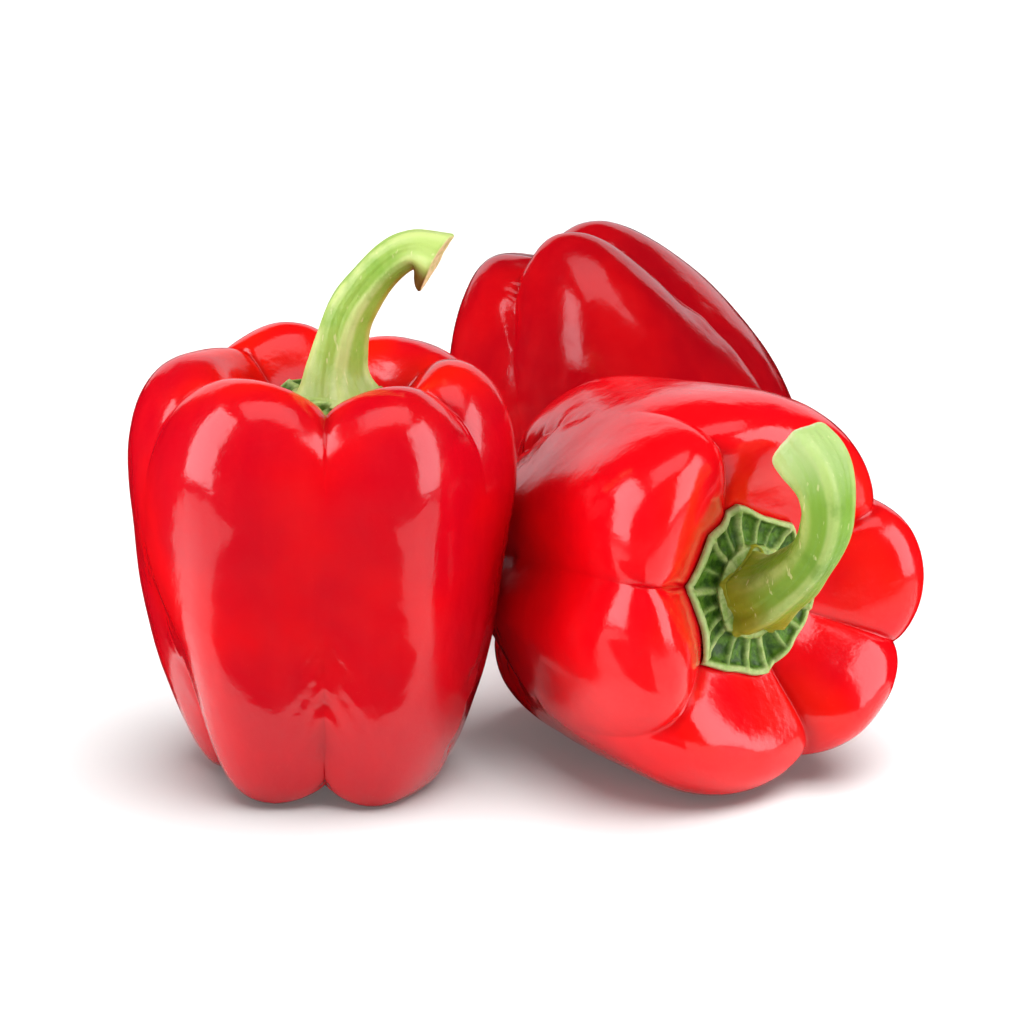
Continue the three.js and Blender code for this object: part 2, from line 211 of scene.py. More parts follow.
def ring_faces(n, m, pole_top=True, pole_bottom=True):
    """Quads round a grid of n columns and m rows, with both ends closed by one point each:
    vertices are n*m grid points, then the top pole, then the bottom pole."""
    i = np.arange(n)[:, None]; j = np.arange(m - 1)[None]
    a = i * m + j; b = ((i + 1) % n) * m + j
    quads = np.stack([a, a + 1, b + 1, b], -1).reshape(-1, 4)
    i = np.arange(n); tris = []
    if pole_top:
        tris.append(np.stack([np.full(n, n * m), i * m, ((i + 1) % n) * m], -1))
    if pole_bottom:
        tris.append(np.stack([np.full(n, n * m + 1), ((i + 1) % n) * m + m - 1, i * m + m - 1], -1))
    return quads, np.concatenate(tris) if tris else None


def grid_normals(P):
    """Outward unit normals of a closed ring grid (n, m, 3)."""
    du = np.roll(P, -1, 0) - np.roll(P, 1, 0)
    dv = np.gradient(P, axis=1)
    N = np.cross(dv, du)
    N /= np.linalg.norm(N, axis=2, keepdims=True) + 1e-12
    return N

# --------------------------------------------------------------------- fruits


def build_fruit(p, count, rows, seed):
    th = columns(p, count)
    C, near, which = guides(p, th)
    t = np.linspace(0, 11, rows + 2)[1:-1]
    # rows closer together on the shoulder and the blossom end
    t = np.interp(np.linspace(0, 1, rows), [0, 0.16, 0.42, 0.72, 1], [0.12, 2.1, 4.3, 7.6, 10.9])
    pr = spline(C, t)
    P = np.stack([pr[..., 0] * np.cos(th)[:, None], pr[..., 0] * np.sin(th)[:, None], pr[..., 1]], 2)
    N = grid_normals(P)
    if np.mean(np.sum(N[:, rows // 2] * P[:, rows // 2], 1)) < 0:
        N = -N
    V = P.reshape(-1, 3); Nf = N.reshape(-1, 3)
    T = np.tile(t, len(th)); NEAR = np.repeat(near, rows); TH = np.repeat(th, rows)
    body = ramp(T, 2.6, 3.6) * (1 - ramp(T, 9.6, 10.6))
    # soft dents and swellings of the wall, then finer unevenness
    d = 0.85 * wave(V * [1, 1, 0.7], 30, seed, 2) * body
    d += 0.12 * wave(V * [1, 1, 0.6], 9, seed + 3, 2) * body
    # the wall puckers a little along each groove on the lower half
    pucker = ramp(NEAR, 0.55, 1.0) * ramp(T, 6.2, 7.4) * (1 - ramp(T, 9.2, 10.2))
    d += 0.35 * pucker * np.sin(T * 9 + 3 * wave(V, 14, seed + 5, 2))
    d += p.get("extra", lambda *a: 0)(V, T, TH, NEAR)
    V = V + Nf * d[:, None]
    top = np.array([0, 0, spline(C[:1], np.array([0.0]))[0, 0, 1]])
    bottom = np.array([0, 0, spline(C[:1], np.array([10.999]))[0, 0, 1]])
    V = np.concatenate([V, [top], [bottom]])
    W = place(p, V)
    W[:, 2] = np.maximum(W[:, 2], 0.0)
    q, tr = ring_faces(len(th), rows)
    attrs = {"row": np.append(T, [0, 11]), "crease": np.append(NEAR, [0, 0]),
             "along": np.append(V[:-2, 2] / 95.0, [0.85, 0.1])}
    return make_mesh(p["name"] + "_skin", W, [q, tr], p["name"] + "_fruit", attrs)


def front_wrinkle(V, T, TH, NEAR):
    """Puckered seam low on the front of the upright pepper."""
    a = np.radians(-87.74)
    off = (TH - a + np.pi) % (2 * np.pi) - np.pi
    s = off * 38  # mm to the side of the seam
    z = V[:, 2]
    band = np.exp(-(s / 9.0) ** 2) * ramp(z, 6, 16) * (1 - ramp(z, 34, 44))
    folds = 0.9 * np.sin((z + 1.3 * s * np.sign(s)) * 0.95) + 0.5 * np.sin((z * 1.7 - 0.8 * np.abs(s)) * 0.9 + 1.2)
    return 0.28 * band * folds * (0.6 + 0.4 * np.sin(s * 0.9 + z * 0.31))


UPRIGHT.update(extra=front_wrinkle, fold=GENTLE, side=0.36)
COUNT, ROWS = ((300, 170))
skins = {}
for p, seed in ((UPRIGHT, 1), (LYING, 2), (REAR, 3)):
    skins[p["name"]] = build_fruit(p, COUNT, ROWS, seed)

# ------------------------------------------------------------ calyxes and stems
UPRIGHT["calyx"] = dict(points=[(20, 2.1), (76, 1.95), (131, 1.85), (186, 1.72), (249, 1.85), (311, 2.0)],
                        notch=0.22, pad=8.4, height=85.0, centre=(2.0, 0), ribs=3)
LYING["calyx"] = dict(points=[(49, 1.95), (104, 2.25), (135, 2.3), (170, 2.3), (217, 2.3), (274, 2.08), (335, 1.88)],
                      notch=0.2, pad=8.8, height=84.6, centre=(-2.1, 0.2), ribs=3)
REAR["calyx"] = dict(points=[(30, 1.95), (90, 1.9), (150, 2.0), (210, 1.9), (270, 1.95), (330, 1.9)],
                     notch=0.2, pad=8, height=79.9, centre=(0, 0), ribs=3)
UPRIGHT["stem"] = dict(
    path=[(2.1, 0, 85.35), (1.9, -0.1, 90), (2.9, -0.6, 96.3), (4.7, -1.1, 103.1),
          (8.4, -2.1, 109.4), (13.5, -3.1, 115.4), (18.9, -4.1, 118.2), (23.6, -5.1, 117)],
    side=(0, 1, 0), ribs=5, phase=0.4, flare=1.9, sink=1.5,
    radius=[(0, 8.2), (0.06, 7.2), (0.16, 6.2), (0.3, 5.6), (0.45, 5.1), (0.6, 4.7),
            (0.75, 4.3), (0.87, 4.2), (0.94, 4.8), (1, 5.6)])
LYING["stem"] = dict(
    path=[(-2, -0.2, 84.95), (-2.1, 1.3, 89.5), (-2.2, 4.4, 95.5), (-2.1, 9.3, 102),
          (-2.1, 14.5, 106.3), (-2.4, 22.2, 109.1), (-2.1, 28.4, 107.5), (-2.4, 33.7, 102.7)],
    side=(1, 0, 0), ribs=5, phase=0.9, flare=0.6, sink=0.9, dome=3.4,
    radius=[(0, 8.6), (0.07, 8.1), (0.16, 6.9), (0.28, 6.1), (0.4, 5.4), (0.55, 5.2),
            (0.7, 5.7), (0.84, 6.6), (0.94, 7.2), (1, 7.1)])
REAR["stem"] = dict(
    path=[(0, 0, 80.25), (0.2, 0.3, 86), (0.1, 1.1, 93), (-0.4, 2.2, 100), (-1.1, 3.6, 106.6)],
    side=(1, 0, 0), ribs=5, phase=0.1, flare=1.0, sink=1.0,
    radius=[(0, 8), (0.1, 7), (0.25, 6), (0.5, 5.3), (0.75, 5.3), (0.92, 5.9), (1, 6.2)])


def reach_at(c, th):
    """How far out along the meridian the calyx reaches, and where its ribs run (0..1 mask)."""
    pts = c["points"]; n = len(pts)
    out = np.zeros(len(th)); rib = np.zeros(len(th)); main = np.zeros(len(th))
    for k in range(n):
        a = math.radians(pts[k][0]); span = math.radians((pts[(k + 1) % n][0] - pts[k][0]) % 360)
        d = (th - a) % (2 * np.pi)
        sel = d < span
        f = d[sel] / span
        out[sel] = pts[k][1] * (1 - f) + pts[(k + 1) % n][1] * f - c["notch"] * (1 - np.abs(2 * f - 1) ** 1.5)
        m = c["ribs"] if math.degrees(span) > 40 else 2
        g = (f * m + 0.5) % 1 - 0.5
        rib[sel] = np.abs(g) / m * span          # radians from the nearest rib
        main[sel] = np.minimum(f, 1 - f) * span
    return out, rib, main


def build_calyx(p, count, rows, seed):
    c = p["calyx"]
    th = np.linspace(0, 2 * np.pi, count, endpoint=False)
    C, _, _ = guides(p, th)
    wob = 0.03 * np.sin(th * 7 + seed) + 0.02 * np.sin(th * 13 + 2 * seed)
    reach, rib, main = reach_at(c, th)
    reach = reach + wob * 0.6
    cs, sn = np.cos(th), np.sin(th)
    v = np.linspace(0, 1, rows) ** 0.9            # 0 at the stem's foot, 1 at the rim
    s = 0.75 + (reach[:, None] - 0.75) * v[None]  # (count, rows)
    P = np.zeros((count, rows, 2)); D = np.zeros((count, rows, 2))
    for j in range(rows):
        for col, e in ((P, 0.0), (D, 0.02)):
            t = np.clip(s[:, j] + e, 0, 10.9)
            i = t.astype(int); x = t - i
            E = np.concatenate([C[:, 1:2] * [-1, 1], C], 1)
            B = [(1 - x) ** 3 / 6, (3 * x ** 3 - 6 * x * x + 4) / 6, (-3 * x ** 3 + 3 * x * x + 3 * x + 1) / 6, x ** 3 / 6]
            q = sum(E[np.arange(count), i + k] * B[k][:, None] for k in range(4))
            col[:, j] = q
    tan = D - P; tan /= np.linalg.norm(tan, axis=2, keepdims=True) + 1e-12
    nor = np.stack([-tan[..., 1], tan[..., 0]], -1)   # points out of the fruit, into the hollow
    r = P[..., 0]
    # ribs: a ridge about 1.5 mm wide, fading under the stem, joined by a pale rim
    across = rib[:, None] * r
    ids = 0.5 + 0.5 * np.sin(th * 3.7 + 5 * seed) * np.sin(th * 8.3 + seed)      # no two ribs alike
    ridge = np.exp(-(across / (0.55 + 0.5 * ids[:, None] + 0.3 * (1 - v)[None])) ** 2) * (0.55 + 0.45 * ids)[:, None]
    strong = np.exp(-(main[:, None] * r / 0.95) ** 2)
    rim = ramp(v, 0.84, 0.97)[None] * np.ones_like(r)
    collar = 1 - ramp(v, 0.0, 0.30)[None] * np.ones_like(r)
    pale = np.clip(np.maximum(np.maximum(0.85 * ridge, strong), 0.9 * rim) + 0.35 * collar, 0, 1)
    h = 0.75 + 1.25 * np.maximum(np.maximum(ridge, strong), 0.75 * rim) + 0.5 * collar
    h *= 1 - 0.35 * ramp(v, 0.93, 1.0)[None]
    cell = wave(np.stack([r * cs[:, None], r * sn[:, None], P[..., 1]], -1).reshape(-1, 3), 2.2, seed, 2).reshape(r.shape)
    h += 0.16 * cell
    lift = 0.28 + h
    Rr = P[..., 0] + nor[..., 0] * lift
    Z = P[..., 1] + nor[..., 1] * lift
    X = Rr * cs[:, None]; Y = Rr * sn[:, None]
    # near the middle it climbs to the round pad that carries the stem
    k = (1 - ramp(v, 0.0, 0.42))[None]
    pad = c["pad"] + 0.9
    X += (c["centre"][0] + pad * cs - X[:, 0])[:, None] * k
    Y += (c["centre"][1] + pad * sn - Y[:, 0])[:, None] * k
    Z += (c["height"] - 0.1 - Z[:, 0])[:, None] * k
    # the very edge lifts off the flesh a little here and there
    lifted = ramp(v, 0.8, 1.0)[None] * (0.3 + 0.3 * np.sin(th * 5 + seed))[:, None] * 0.6
    Z += lifted
    top = np.stack([X, Y, Z], -1)
    # underside rows from the rim back to the middle
    under = []
    for vv, lf in ((rows - 1, 0.35), (int(rows * 0.8), 0.2), (int(rows * 0.5), 0.2), (int(rows * 0.15), 0.2)):
        a = P[:, vv, 0] + nor[:, vv, 0] * lf; b = P[:, vv, 1] + nor[:, vv, 1] * lf
        if vv == rows - 1:
            b = b + lifted[:, -1] * 0.8
        under.append(np.stack([a * cs, a * sn, b], -1))
    G = np.concatenate([top, np.stack(under, 1)], 1)
    m = G.shape[1]
    centre_top = np.array([c["centre"][0], c["centre"][1], c["height"]])
    centre_low = np.array([0, 0, C[0, 0, 1] * 4 / 6 + C[0, 1, 1] * 2 / 6 + 0.3])
    V = np.concatenate([G.reshape(-1, 3), [centre_top], [centre_low]])
    W = place(p, V)
    q, tr = ring_faces(count, m)
    at = np.concatenate([pale, np.repeat(pale[:, -1:], 4, 1)], 1).ravel()
    fade = np.tile(np.concatenate([v, [1, 1, 1, 1]]), count)
    return make_mesh(p["name"] + "_star", W, [q[:, ::-1], tr[:, ::-1]], p["name"] + "_calyx",
                     {"pale": np.append(at, [0.3, 0]), "out": np.append(fade, [0, 0])})


def smooth_path(points, n=400):
    """A natural cubic spline through the points, sampled evenly along its length."""
    Q = np.array(points, float); d = np.concatenate([[0], np.cumsum(np.linalg.norm(np.diff(Q, axis=0), axis=1))])
    m = len(Q); h = np.diff(d)
    A = np.eye(m); R = np.zeros((m, 3))
    for i in range(1, m - 1):
        A[i, i - 1:i + 2] = h[i - 1], 2 * (h[i - 1] + h[i]), h[i]
        R[i] = 6 * ((Q[i + 1] - Q[i]) / h[i] - (Q[i] - Q[i - 1]) / h[i - 1])
    M = np.linalg.solve(A, R)
    t = np.linspace(0, d[-1], n); i = np.clip(np.searchsorted(d, t, side="right") - 1, 0, m - 2)
    a = (d[i + 1] - t)[:, None]; b = (t - d[i])[:, None]; H = h[i][:, None]
    S = (M[i] * a ** 3 + M[i + 1] * b ** 3) / (6 * H) + (Q[i] / H - M[i] * H / 6) * a + (Q[i + 1] / H - M[i + 1] * H / 6) * b
    L = np.concatenate([[0], np.cumsum(np.linalg.norm(np.diff(S, axis=0), axis=1))])
    u = np.linspace(0, L[-1], n)
    return np.stack([np.interp(u, L, S[:, k]) for k in range(3)], 1), L[-1]


def build_stem(p, sides, rings, seed):
    st = p["stem"]
    S, length = smooth_path(st["path"])
    grid = np.linspace(0, 1, 400)
    u = np.concatenate([np.linspace(0, 0.12, rings // 4, endpoint=False), np.linspace(0.12, 0.95, rings // 2, endpoint=False),
                        np.linspace(0.95, 1, rings // 4)])
    c = np.stack([np.interp(u, grid, S[:, k]) for k in range(3)], 1)
    T = np.gradient(S, axis=0); T /= np.linalg.norm(T, axis=1, keepdims=True)
    tan = np.stack([np.interp(u, grid, T[:, k]) for k in range(3)], 1)
    tan[u < 0.02] = [0, 0, 1]
    tan /= np.linalg.norm(tan, axis=1, keepdims=True)
    ref = np.array(st["side"], float)
    X = ref - tan * (tan @ ref)[:, None]; X /= np.linalg.norm(X, axis=1, keepdims=True)
    Yv = np.cross(tan, X)
    rr = np.array(st["radius"], float)
    # a smooth radius along the length
    rad = np.interp(grid, rr[:, 0], rr[:, 1])
    k = np.exp(-0.5 * (np.arange(-24, 25) / 9.0) ** 2); k /= k.sum()
    rad = np.convolve(np.pad(rad, 24, mode="edge"), k, "valid")
    r = np.interp(u, grid, rad)
    foot = np.exp(-u * length / 1.3)             # the foot spreads into the calyx
    r = r + st["flare"] * foot
    c = c - tan * (st["sink"] * foot)[:, None]
    phi = np.linspace(0, 2 * np.pi, sides, endpoint=False)
    n = st["ribs"]
    ph = phi[None] * n + st["phase"] * n + 0.5 * np.sin(u * 5 + seed)[:, None]
    wavey = np.cos(ph) + 0.25 * np.cos(2 * ph + 0.7) + 0.22 * np.cos(phi * (n + 2) + 1.1 * seed)[None]
    amp = (0.055 + 0.07 * (1 - ramp(u, 0.0, 0.2)) + 0.06 * foot + 0.035 * ramp(u, 0.8, 1.0))[:, None]
    fine = 0.008 * np.cos(phi[None] * 23 + 6 * np.sin(u * 3)[:, None]) + 0.006 * np.cos(phi[None] * 37 + 2.0 * seed)
    R = r[:, None] * (1 + amp * wavey * 0.8 + fine)
    lump = 1 + 0.03 * np.sin(u * 21 + seed)[:, None] * np.cos(phi * 2 + seed)[None]
    R = R * lump
    G = c[:, None] + R[..., None] * (np.cos(phi)[None, :, None] * X[:, None] + np.sin(phi)[None, :, None] * Yv[:, None])
    # the cut end: a rounded edge, then a slightly sunken face
    ends = []; end_attr = []
    R_last = R[-1]; cl, Xl, Yl, Tl = c[-1], X[-1], Yv[-1], tan[-1]
    dome = st.get("dome", 0.0)
    for f, ahead in ((0.975, 0.28), (0.93, 0.46), (0.86, 0.50), (0.74, 0.36), (0.58, 0.22), (0.42, 0.18), (0.26, 0.05), (0.12, -0.15)):
        ahead += dome * math.sqrt(1 - f * f)
        ring = cl + Tl * ahead + (R_last * f)[:, None] * (np.cos(phi)[:, None] * Xl + np.sin(phi)[:, None] * Yl)
        ends.append(ring); end_attr.append(1 - f * 0.5)
    G = np.concatenate([G, np.stack(ends)], 0)          # (rings, sides, 3)
    shape_end = p.get("shape_stem")
    U = np.concatenate([u, np.full(len(ends), 1.0)])
    CUT = np.concatenate([np.zeros(len(u)), [0.35, 0.8, 1, 1, 1, 1, 1, 1]])
    if shape_end:
        G = shape_end(G, U, phi, length)
    Gt = np.transpose(G, (1, 0, 2))                     # sides, rings
    V = np.concatenate([Gt.reshape(-1, 3), [np.array(st["path"][0]) - [0, 0, 0.2]], [G[-1].mean(0)]])
    W = place(p, V)
    if p is REAR:
        W[:, 2] = np.maximum(W[:, 2], 0)
    q, tr = ring_faces(sides, G.shape[0])
    at = {"along": np.append(np.tile(U, sides), [0, 1]),
          "cut": np.append(np.tile(CUT, sides), [0, 1]),
          "rib": np.append(np.clip(np.concatenate([(wavey * 0.5 + 0.5), np.repeat(wavey[-1:] * 0.5 + 0.5, len(ends), 0)], 0).T.ravel(), 0, 1), [0, 0]),
          "turn": np.append(np.repeat(np.cos(phi), G.shape[0]), [0, 0]),
          "lift": np.append(np.repeat(np.sin(phi), G.shape[0]), [0, 0])}
    return make_mesh(p["name"] + "_stalk", W, [q[:, ::-1], tr[:, ::-1]], p["name"] + "_stem", at)


def hooked_end(G, U, phi, length):
    """The underside of the cut end curls down into a small spur."""
    w = ramp(U, 0.86, 1.0)[:, None] * np.clip(-np.sin(phi), 0, 1)[None] ** 2.5
    up = ramp(U, 0.93, 1.0)[:, None] * np.clip(np.sin(phi), 0, 1)[None] ** 2
    out = G.copy()
    out[..., 2] -= 2.4 * w
    out[..., 0] -= 1.5 * w
    out[..., 0] += 1.3 * up
    return out


UPRIGHT["shape_stem"] = hooked_end
calyxes = {}; stems = {}
for p, seed in ((UPRIGHT, 1), (LYING, 2), (REAR, 3)):
    calyxes[p["name"]] = build_calyx(p, 360, 44, seed)
    stems[p["name"]] = build_stem(p, 96, 160, seed)

# ------------------------------------------------------------------- materials


class Nodes:
    """A short way to write node materials."""

    def __init__(self, name):
        self.mat = bpy.data.materials.new(name)
        self.mat.use_nodes = True
        self.nt = self.mat.node_tree
        self.bsdf = self.nt.nodes["Principled BSDF"]
        self.coord = self.nt.nodes.new("ShaderNodeTexCoord").outputs["Object"]

    def link(self, a, b):
        self.nt.links.new(a, b)

    def noise(self, scale, detail=3, rough=0.55, stretch=None, distortion=0.0):
        src = self.coord
        if stretch:
            m = self.nt.nodes.new("ShaderNodeMapping"); m.inputs["Scale"].default_value = stretch
            self.link(src, m.inputs["Vector"]); src = m.outputs["Vector"]
        n = self.nt.nodes.new("ShaderNodeTexNoise")
        n.inputs["Scale"].default_value = scale; n.inputs["Detail"].default_value = detail
        n.inputs["Roughness"].default_value = rough; n.inputs["Distortion"].default_value = distortion
        self.link(src, n.inputs["Vector"])
        return n.outputs["Fac"]

    def voronoi(self, scale, feature="F1"):
        n = self.nt.nodes.new("ShaderNodeTexVoronoi"); n.feature = feature
        n.inputs["Scale"].default_value = scale
        self.link(self.coord, n.inputs["Vector"])
        return n.outputs["Distance"]

    def attr(self, name):
        n = self.nt.nodes.new("ShaderNodeAttribute"); n.attribute_name = name
        return n.outputs["Fac"]

    def range(self, x, a, b, c=0.0, d=1.0, smooth=True):
        n = self.nt.nodes.new("ShaderNodeMapRange")
        n.interpolation_type = "SMOOTHSTEP" if smooth else "LINEAR"
        n.inputs["From Min"].default_value = a; n.inputs["From Max"].default_value = b
        n.inputs["To Min"].default_value = c; n.inputs["To Max"].default_value = d
        self.link(x, n.inputs["Value"])
        return n.outputs["Result"]

    def math(self, op, a, b=None):
        n = self.nt.nodes.new("ShaderNodeMath"); n.operation = op
        for i, x in enumerate((a, b)):
            if x is None:
                continue
            if isinstance(x, (int, float)):
                n.inputs[i].default_value = x
            else:
                self.link(x, n.inputs[i])
        return n.outputs[0]

    def mix(self, fac, a, b, blend="MIX"):
        n = self.nt.nodes.new("ShaderNodeMix"); n.data_type = "RGBA"; n.blend_type = blend
        for sock, x in ((n.inputs["Factor"], fac), (n.inputs["A"], a), (n.inputs["B"], b)):
            pass
        ins = {"f": n.inputs[0], "a": n.inputs[6], "b": n.inputs[7]}
        for key, x in (("f", fac), ("a", a), ("b", b)):
            if isinstance(x, (int, float)):
                ins[key].default_value = x
            elif isinstance(x, tuple):
                ins[key].default_value = (*x, 1)
            else:
                self.link(x, ins[key])
        return n.outputs[2]

    def bump(self, height, strength, distance):
        n = self.nt.nodes.new("ShaderNodeBump")
        n.inputs["Strength"].default_value = strength; n.inputs["Distance"].default_value = distance
        self.link(height, n.inputs["Height"])
        self.link(n.outputs["Normal"], self.bsdf.inputs["Normal"])

    def set(self, **k):
        for key, val in k.items():
            self.bsdf.inputs[key.replace("_", " ")].default_value = val


def skin_material(name, red, dark, warm, warm_amount, rough, seed):
    m = Nodes(name)
    row = m.attr("row"); crease = m.attr("crease")
    big = m.noise(26 + seed, 3, 0.5)
    mid = m.noise(95, 4, 0.6)
    col = m.mix(m.range(big, 0.38, 0.68), dark, red)
    # the shoulders ripen to a warmer red
    shoulder = m.math("MULTIPLY", m.range(row, 1.6, 2.6), m.range(row, 3.2, 4.4, 1.0, 0.0))
    warmth = m.math("MULTIPLY", shoulder, m.range(m.noise(40, 2, 0.5), 0.35, 0.65))
    col = m.mix(m.math("MULTIPLY", warmth, warm_amount), col, warm)
    # painted shade: the colour is darkened down in the creases and in the hollow round the stem
    ends = m.math("MAXIMUM", m.range(row, 4.6, 3.6), m.range(row, 8.4, 9.2))
    deep = m.math("MULTIPLY", m.math("MULTIPLY", m.range(crease, 0.8, 1.0), ends), 0.4)
    deep = m.math("MAXIMUM", deep, m.range(row, 1.9, 0.9, 0.0, 0.35))
    col = m.mix(deep, col, tuple(0.55 * x for x in dark))
    # the small dry scar at the blossom end
    scar = m.range(m.math("ADD", row, m.math("MULTIPLY", m.noise(300, 3, 0.6), 0.3)), 10.80, 10.93)
    # faint lengthways streaks and fine pale flecks in the skin
    streak = m.range(m.noise(160, 3, 0.6, (1, 1, 0.18)), 0.45, 0.75)
    col = m.mix(m.math("MULTIPLY", streak, 0.16), col, tuple(min(1, x * 1.12 + 0.004) for x in red))
    fleck = m.math("MULTIPLY", m.range(m.voronoi(900), 0.16, 0.05), m.range(mid, 0.5, 0.62, 0, 0.1))
    col = m.mix(fleck, col, (0.9, 0.12, 0.06))
    col = m.mix(scar, col, (0.115, 0.050, 0.014))
    m.link(col, m.bsdf.inputs["Base Color"])
    smooth = m.range(m.noise(140, 4, 0.6), 0.3, 0.7, rough - 0.02, rough + 0.03)
    m.link(m.math("MAXIMUM", smooth, m.math("MULTIPLY", scar, 0.6)), m.bsdf.inputs["Roughness"])
    m.set(IOR=1.42, Coat_Weight=0.25, Coat_Roughness=0.08, Coat_IOR=1.45, Specular_IOR_Level=0.42)
    h = m.math("ADD", m.math("MULTIPLY", m.noise(240, 3, 0.5), 0.7), m.math("MULTIPLY", m.noise(1300, 2, 0.5), 0.10))
    m.bump(h, 0.22, 0.0012)
    return m.mat


def calyx_material():
    m = Nodes("calyx_green")
    pale = m.attr("pale"); out = m.attr("out")
    n1 = m.noise(420, 4, 0.6); n2 = m.noise(1500, 3, 0.6)
    deep = m.mix(m.range(n1, 0.35, 0.65), (0.020, 0.065, 0.003), (0.085, 0.20, 0.010))
    light = m.mix(m.range(n1, 0.3, 0.7), (0.20, 0.34, 0.055), (0.40, 0.48, 0.19))
    f = m.math("MULTIPLY", m.range(pale, 0.18, 0.92), m.range(n2, 0.2, 0.6, 0.75, 1.0))
    col = m.mix(f, deep, light)
    col = m.mix(m.range(out, 0.93, 1.0, 0, 0.5), col, (0.42, 0.52, 0.22))
    m.link(col, m.bsdf.inputs["Base Color"])
    m.link(m.range(n1, 0.3, 0.7, 0.38, 0.6), m.bsdf.inputs["Roughness"])
    m.set(IOR=1.42, Specular_IOR_Level=0.4, Subsurface_Weight=0.12, Subsurface_Scale=0.002)
    m.bsdf.inputs["Subsurface Radius"].default_value = (0.5, 1.0, 0.2)
    h = m.math("ADD", m.math("MULTIPLY", n1, 0.8), m.math("MULTIPLY", n2, 0.3))
    m.bump(h, 0.5, 0.0008)
    return m.mat


def stem_material(name, base, pale_c, dark_c, foot, tip, brown, dry_a=(0.62, 0.50, 0.27), dry_b=(0.38, 0.40, 0.14)):
    m = Nodes(name)
    along = m.attr("along"); cut = m.attr("cut"); rib = m.attr("rib"); turn_ = m.attr("turn"); lift = m.attr("lift")
    n1 = m.noise(120, 4, 0.6); n2 = m.noise(700, 3, 0.6)
    col = m.mix(m.range(rib, 0.25, 0.95), base, pale_c)
    col = m.mix(m.math("MULTIPLY", m.range(n1, 0.42, 0.72), 0.75), col, dark_c)
    col = m.mix(m.range(along, 0.22, 0.02, 0, foot[1]), col, foot[0])
    col = m.mix(m.range(along, 0.72, 0.97, 0, tip[1]), col, tip[0])
    # small brown and pale scratches
    scr = m.range(m.noise(900, 2, 0.5, (1, 1, 0.3)), 0.66, 0.74, 0, 0.45)
    col = m.mix(scr, col, (0.62, 0.62, 0.30))
    if brown:
        # dry brown under the end, and a thin dry line along the inner side
        inner = m.math("MULTIPLY", m.range(lift, -0.80, -0.97), m.range(along, 0.12, 0.35))
        col = m.mix(m.math("MULTIPLY", inner, 0.5), col, (0.36, 0.24, 0.02))
        under = m.math("MULTIPLY", m.range(lift, -0.25, -0.85), m.range(along, 0.80, 0.92))
        col = m.mix(under, col, (0.10, 0.042, 0.004))
    dry = m.mix(m.range(m.noise(650, 4, 0.65), 0.4, 0.65), dry_a, dry_b)
    col = m.mix(m.range(cut, 0.25, 0.8), col, dry)
    m.link(col, m.bsdf.inputs["Base Color"])
    m.link(m.range(n2, 0.3, 0.7, 0.34, 0.5), m.bsdf.inputs["Roughness"])
    m.set(IOR=1.42, Specular_IOR_Level=0.42, Subsurface_Weight=0.12, Subsurface_Scale=0.0025)
    m.bsdf.inputs["Subsurface Radius"].default_value = (0.6, 1.0, 0.25)
    h = m.math("ADD", m.math("MULTIPLY", n2, 0.5), m.math("MULTIPLY", m.noise(420, 3, 0.6, (1, 1, 0.25)), 0.9))
    m.bump(h, 0.4, 0.0006)
    return m.mat


SKINS = {
    "pepper_upright": skin_material("skin_upright", (0.585, 0.0012, 0.004), (0.455, 0.001, 0.007), (0.82, 0.009, 0.001), 0.8, 0.155, 1),
    "pepper_lying": skin_material("skin_lying", (0.74, 0.0013, 0.004), (0.59, 0.001, 0.006), (0.86, 0.011, 0.001), 0.55, 0.155, 4),
    "pepper_rear": skin_material("skin_rear", (0.80, 0.0015, 0.006), (0.60, 0.001, 0.008), (0.84, 0.008, 0.003), 0.3, 0.155, 9),
}
GREEN = calyx_material()
STEMS = {
    "pepper_upright": stem_material("stem_upright", (0.26, 0.41, 0.060), (0.44, 0.54, 0.175), (0.17, 0.33, 0.030),
                                    ((0.38, 0.47, 0.15), 0.5), ((0.42, 0.54, 0.15), 0.6), True),
    "pepper_lying": stem_material("stem_lying", (0.16, 0.31, 0.024), (0.31, 0.43, 0.105), (0.11, 0.235, 0.014),
                                  ((0.24, 0.26, 0.010), 0.95), ((0.40, 0.54, 0.20), 0.7), False,
                                  (0.50, 0.58, 0.30), (0.38, 0.50, 0.18)),
    "pepper_rear": stem_material("stem_rear", (0.22, 0.36, 0.05), (0.38, 0.46, 0.15), (0.15, 0.28, 0.03),
                                 ((0.25, 0.28, 0.03), 0.5), ((0.35, 0.42, 0.15), 0.5), False),
}
for name in skins:
    for o, mat in ((skins[name], SKINS[name]), (calyxes[name], GREEN), (stems[name], STEMS[name])):
        o.data.materials.clear(); o.data.materials.append(mat)

# ------------------------------------------------------- floor, light and camera
def slab(name, x0, y0, x1, y1):
    me = bpy.data.meshes.new(name)
    me.from_pydata([(x0, y0, 0), (x1, y0, 0), (x1, y1, 0), (x0, y1, 0)], [], [(0, 1, 2, 3)])
    o = bpy.data.objects.new(name, me); scene.collection.objects.link(o)
    return o


fm = Nodes("floor_white")
fm.link(fm.mix(fm.noise(0.7, 2, 0.5), (0.44, 0.44, 0.44), (0.455, 0.455, 0.455)), fm.bsdf.inputs["Base Color"])
fm.set(Roughness=0.9, Specular_IOR_Level=0.1)
def frame_of(x0, y0, x1, y1, X=12):
    """Four slabs that fill the floor round a rectangle."""
    return [(-X, -X, X, y0), (-X, y1, X, X), (-X, y0, x0, y1), (x1, y0, X, y1)]


